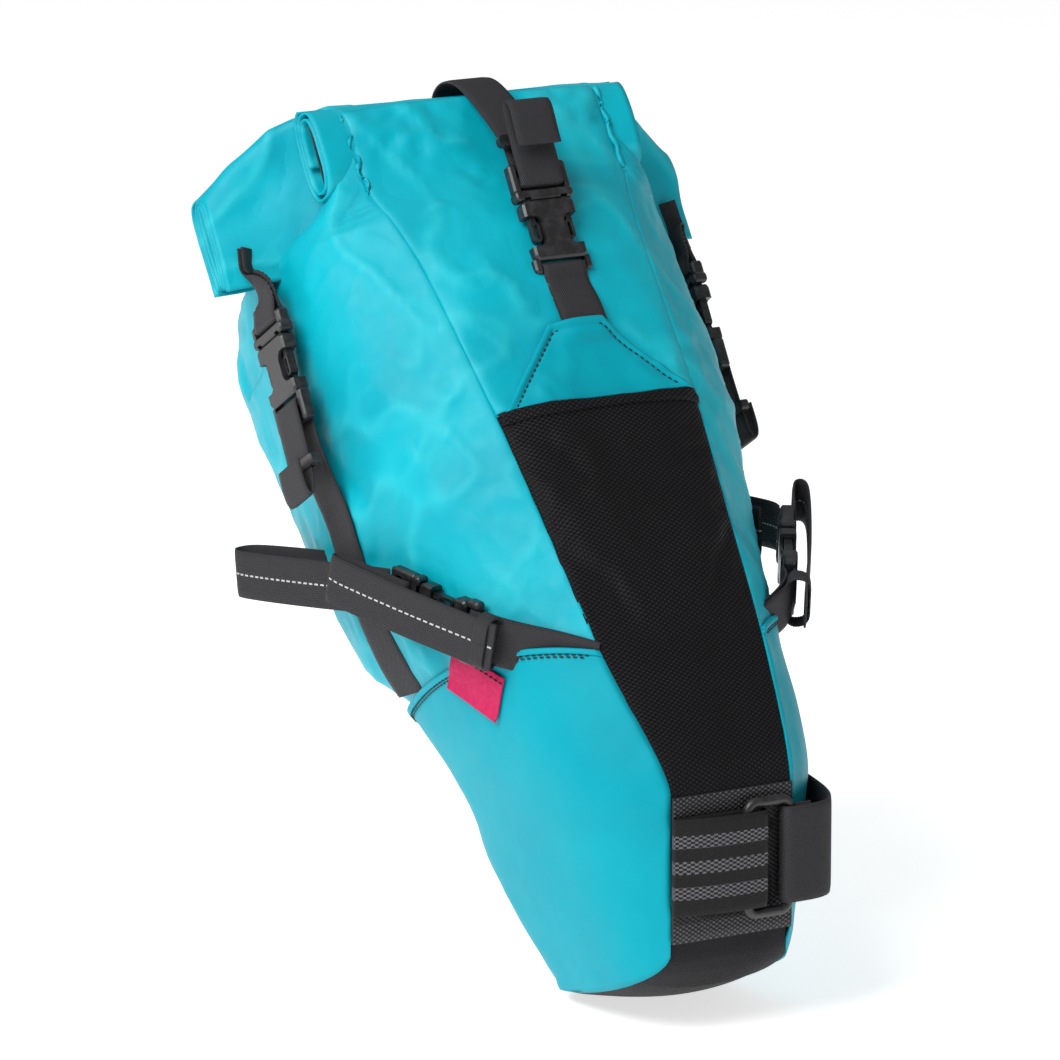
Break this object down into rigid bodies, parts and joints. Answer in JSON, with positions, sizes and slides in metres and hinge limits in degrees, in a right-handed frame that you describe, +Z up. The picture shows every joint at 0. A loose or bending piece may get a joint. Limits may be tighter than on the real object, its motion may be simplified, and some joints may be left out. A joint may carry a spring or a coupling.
{
  "type": "saddle bag",
  "caption": "Roll-top saddle bag with black wear panel, side-release closure buckles, saddle-rail straps, reinforced nose and seatpost hook-and-loop strap.",
  "frame": {"origin": "centre of the webbing pad on the nose, where it rests on the seatpost", "axes": "+Z up along the seatpost, -Y out of the pad towards the seatpost, +X across the bag"},
  "size_m": [0.2894, 0.3632, 0.4482],
  "materials": {
    "main_fabric": "matte",
    "wear_fabric": "matte",
    "webbing": "matte",
    "grip_webbing": "matte",
    "elastic": "matte",
    "label": "matte",
    "buckle_plastic": "satin",
    "plastic_sheet": "satin"
  },
  "bodies": {
    "bag": {"wear_panel": "wear_fabric", "front_panel": "main_fabric", "side_panel_left": "main_fabric", "side_panel_right": "main_fabric", "back_panel": "main_fabric", "shoulder_panel": "main_fabric", "nose_boot": "wear_fabric", "nose_stiffener": "plastic_sheet", "wing_left": "main_fabric", "wing_right": "main_fabric", "closure_patch": "main_fabric", "side_label": "label", "nose_pad": "webbing", "seatpost_grip_strap": "grip_webbing", "hook_strap_base": "webbing", "centre_female": "buckle_plastic", "centre_anchor_web": "webbing", "closure_keepers": "buckle_plastic", "left_closure_female": "buckle_plastic", "left_closure_tail": "webbing", "left_closure_strap": "webbing", "left_rail_female": "buckle_plastic", "left_rail_anchor_web": "webbing", "left_rail_loop": "webbing", "left_rail_keeper": "elastic", "right_closure_female": "buckle_plastic", "right_closure_tail": "webbing", "right_closure_strap": "webbing", "right_rail_female": "buckle_plastic", "right_rail_anchor_web": "webbing", "right_rail_loop": "webbing", "right_rail_keeper": "elastic"},
    "rolltop": {"roll": "main_fabric", "roll_stiffener": "plastic_sheet", "ear_left": "main_fabric", "ear_right": "main_fabric", "centre_strap": "webbing", "left_closure_ear_web": "webbing", "right_closure_ear_web": "webbing"},
    "centre_plug": {"centre_male": "buckle_plastic", "centre_tail": "webbing", "centre_keeper": "buckle_plastic"},
    "centre_prong_a": {"centre_prong_a": "buckle_plastic"},
    "centre_prong_b": {"centre_prong_b": "buckle_plastic"},
    "left_closure_plug": {"left_closure_male": "buckle_plastic"},
    "left_closure_prong_a": {"left_closure_prong_a": "buckle_plastic"},
    "left_closure_prong_b": {"left_closure_prong_b": "buckle_plastic"},
    "right_closure_plug": {"right_closure_male": "buckle_plastic"},
    "right_closure_prong_a": {"right_closure_prong_a": "buckle_plastic"},
    "right_closure_prong_b": {"right_closure_prong_b": "buckle_plastic"},
    "left_rail_plug": {"left_rail_male": "buckle_plastic", "left_rail_tail": "webbing"},
    "left_rail_prong_a": {"left_rail_prong_a": "buckle_plastic"},
    "left_rail_prong_b": {"left_rail_prong_b": "buckle_plastic"},
    "right_rail_plug": {"right_rail_male": "buckle_plastic", "right_rail_tail": "webbing"},
    "right_rail_prong_a": {"right_rail_prong_a": "buckle_plastic"},
    "right_rail_prong_b": {"right_rail_prong_b": "buckle_plastic"},
    "ring": {"seatpost_ring": "buckle_plastic"},
    "hook_strap": {"hook_strap_tail": "webbing"}
  },
  "joints": [
    {"name": "rolltop_unroll", "type": "slide", "parent": "bag", "child": "rolltop", "axis": [0, 0.515, 0.8572], "range_m": [0, 0.12]},
    {"name": "centre_release", "type": "slide", "parent": "rolltop", "child": "centre_plug", "axis": [0, 0.515, 0.8572], "range_m": [0, 0.024], "deforming": ["centre_strap"]},
    {"name": "centre_press_a", "type": "hinge", "parent": "centre_plug", "child": "centre_prong_a", "pos_m": [-0.0048, 0.20354, 0.30879], "axis": [0, -0.8572, 0.515], "range_deg": [0, 3.2], "stiffness_Nm_per_rad": 0.05},
    {"name": "centre_press_b", "type": "hinge", "parent": "centre_plug", "child": "centre_prong_b", "pos_m": [0.0168, 0.20354, 0.30879], "axis": [0, 0.8572, -0.515], "range_deg": [0, 3.2], "stiffness_Nm_per_rad": 0.05},
    {"name": "left_closure_release", "type": "slide", "parent": "rolltop", "child": "left_closure_plug", "axis": [0, 0.515, 0.8572], "range_m": [0, 0.024], "deforming": ["left_closure_ear_web"]},
    {"name": "left_closure_press_a", "type": "hinge", "parent": "left_closure_plug", "child": "left_closure_prong_a", "pos_m": [-0.126, 0.26449, 0.23312], "axis": [-1, 0, 0], "range_deg": [0, 3.2], "stiffness_Nm_per_rad": 0.05},
    {"name": "left_closure_press_b", "type": "hinge", "parent": "left_closure_plug", "child": "left_closure_prong_b", "pos_m": [-0.126, 0.24598, 0.24425], "axis": [1, 0, 0], "range_deg": [0, 3.2], "stiffness_Nm_per_rad": 0.05},
    {"name": "right_closure_release", "type": "slide", "parent": "rolltop", "child": "right_closure_plug", "axis": [0, 0.515, 0.8572], "range_m": [0, 0.024], "deforming": ["right_closure_ear_web"]},
    {"name": "right_closure_press_a", "type": "hinge", "parent": "right_closure_plug", "child": "right_closure_prong_a", "pos_m": [0.126, 0.24598, 0.24425], "axis": [1, 0, 0], "range_deg": [0, 3.2], "stiffness_Nm_per_rad": 0.05},
    {"name": "right_closure_press_b", "type": "hinge", "parent": "right_closure_plug", "child": "right_closure_prong_b", "pos_m": [0.126, 0.26449, 0.23312], "axis": [-1, 0, 0], "range_deg": [0, 3.2], "stiffness_Nm_per_rad": 0.05},
    {"name": "left_rail_release", "type": "slide", "parent": "bag", "child": "left_rail_plug", "axis": [-0.3099, 0.9346, 0.1749], "range_m": [0, 0.024], "deforming": ["left_rail_loop"]},
    {"name": "left_rail_press_a", "type": "hinge", "parent": "left_rail_plug", "child": "left_rail_prong_a", "pos_m": [-0.1038, 0.14413, 0.10486], "axis": [-0.9477, -0.3183, 0.0217], "range_deg": [0, 3.2], "stiffness_Nm_per_rad": 0.05},
    {"name": "left_rail_press_b", "type": "hinge", "parent": "left_rail_plug", "child": "left_rail_prong_b", "pos_m": [-0.10216, 0.14069, 0.12612], "axis": [0.9477, 0.3183, -0.0217], "range_deg": [0, 3.2], "stiffness_Nm_per_rad": 0.05},
    {"name": "right_rail_release", "type": "slide", "parent": "bag", "child": "right_rail_plug", "axis": [0.4806, 0.831, 0.2803], "range_m": [0, 0.024], "deforming": ["right_rail_loop"]},
    {"name": "right_rail_press_a", "type": "hinge", "parent": "right_rail_plug", "child": "right_rail_prong_a", "pos_m": [0.11234, 0.1305, 0.13252], "axis": [0.8686, -0.4951, -0.0212], "range_deg": [0, 3.2], "stiffness_Nm_per_rad": 0.05},
    {"name": "right_rail_press_b", "type": "hinge", "parent": "right_rail_plug", "child": "right_rail_prong_b", "pos_m": [0.11495, 0.13598, 0.11179], "axis": [-0.8686, 0.4951, 0.0212], "range_deg": [0, 3.2], "stiffness_Nm_per_rad": 0.05},
    {"name": "ring_pivot", "type": "hinge", "parent": "bag", "child": "ring", "pos_m": [0.0052, -0.0054, 0.002], "axis": [0, 0, -1], "range_deg": [0, 75]},
    {"name": "hook_strap_peel", "type": "hinge", "parent": "ring", "child": "hook_strap", "pos_m": [0.0297, -0.0054, 0.002], "axis": [0, 0, -1], "range_deg": [0, 90]}
  ],
  "couplings": [
    {"joint": "centre_press_b", "follows": "centre_press_a", "ratio": 1},
    {"joint": "left_closure_press_b", "follows": "left_closure_press_a", "ratio": 1},
    {"joint": "right_closure_press_b", "follows": "right_closure_press_a", "ratio": 1},
    {"joint": "left_rail_press_b", "follows": "left_rail_press_a", "ratio": 1},
    {"joint": "right_rail_press_b", "follows": "right_rail_press_a", "ratio": 1}
  ]
}
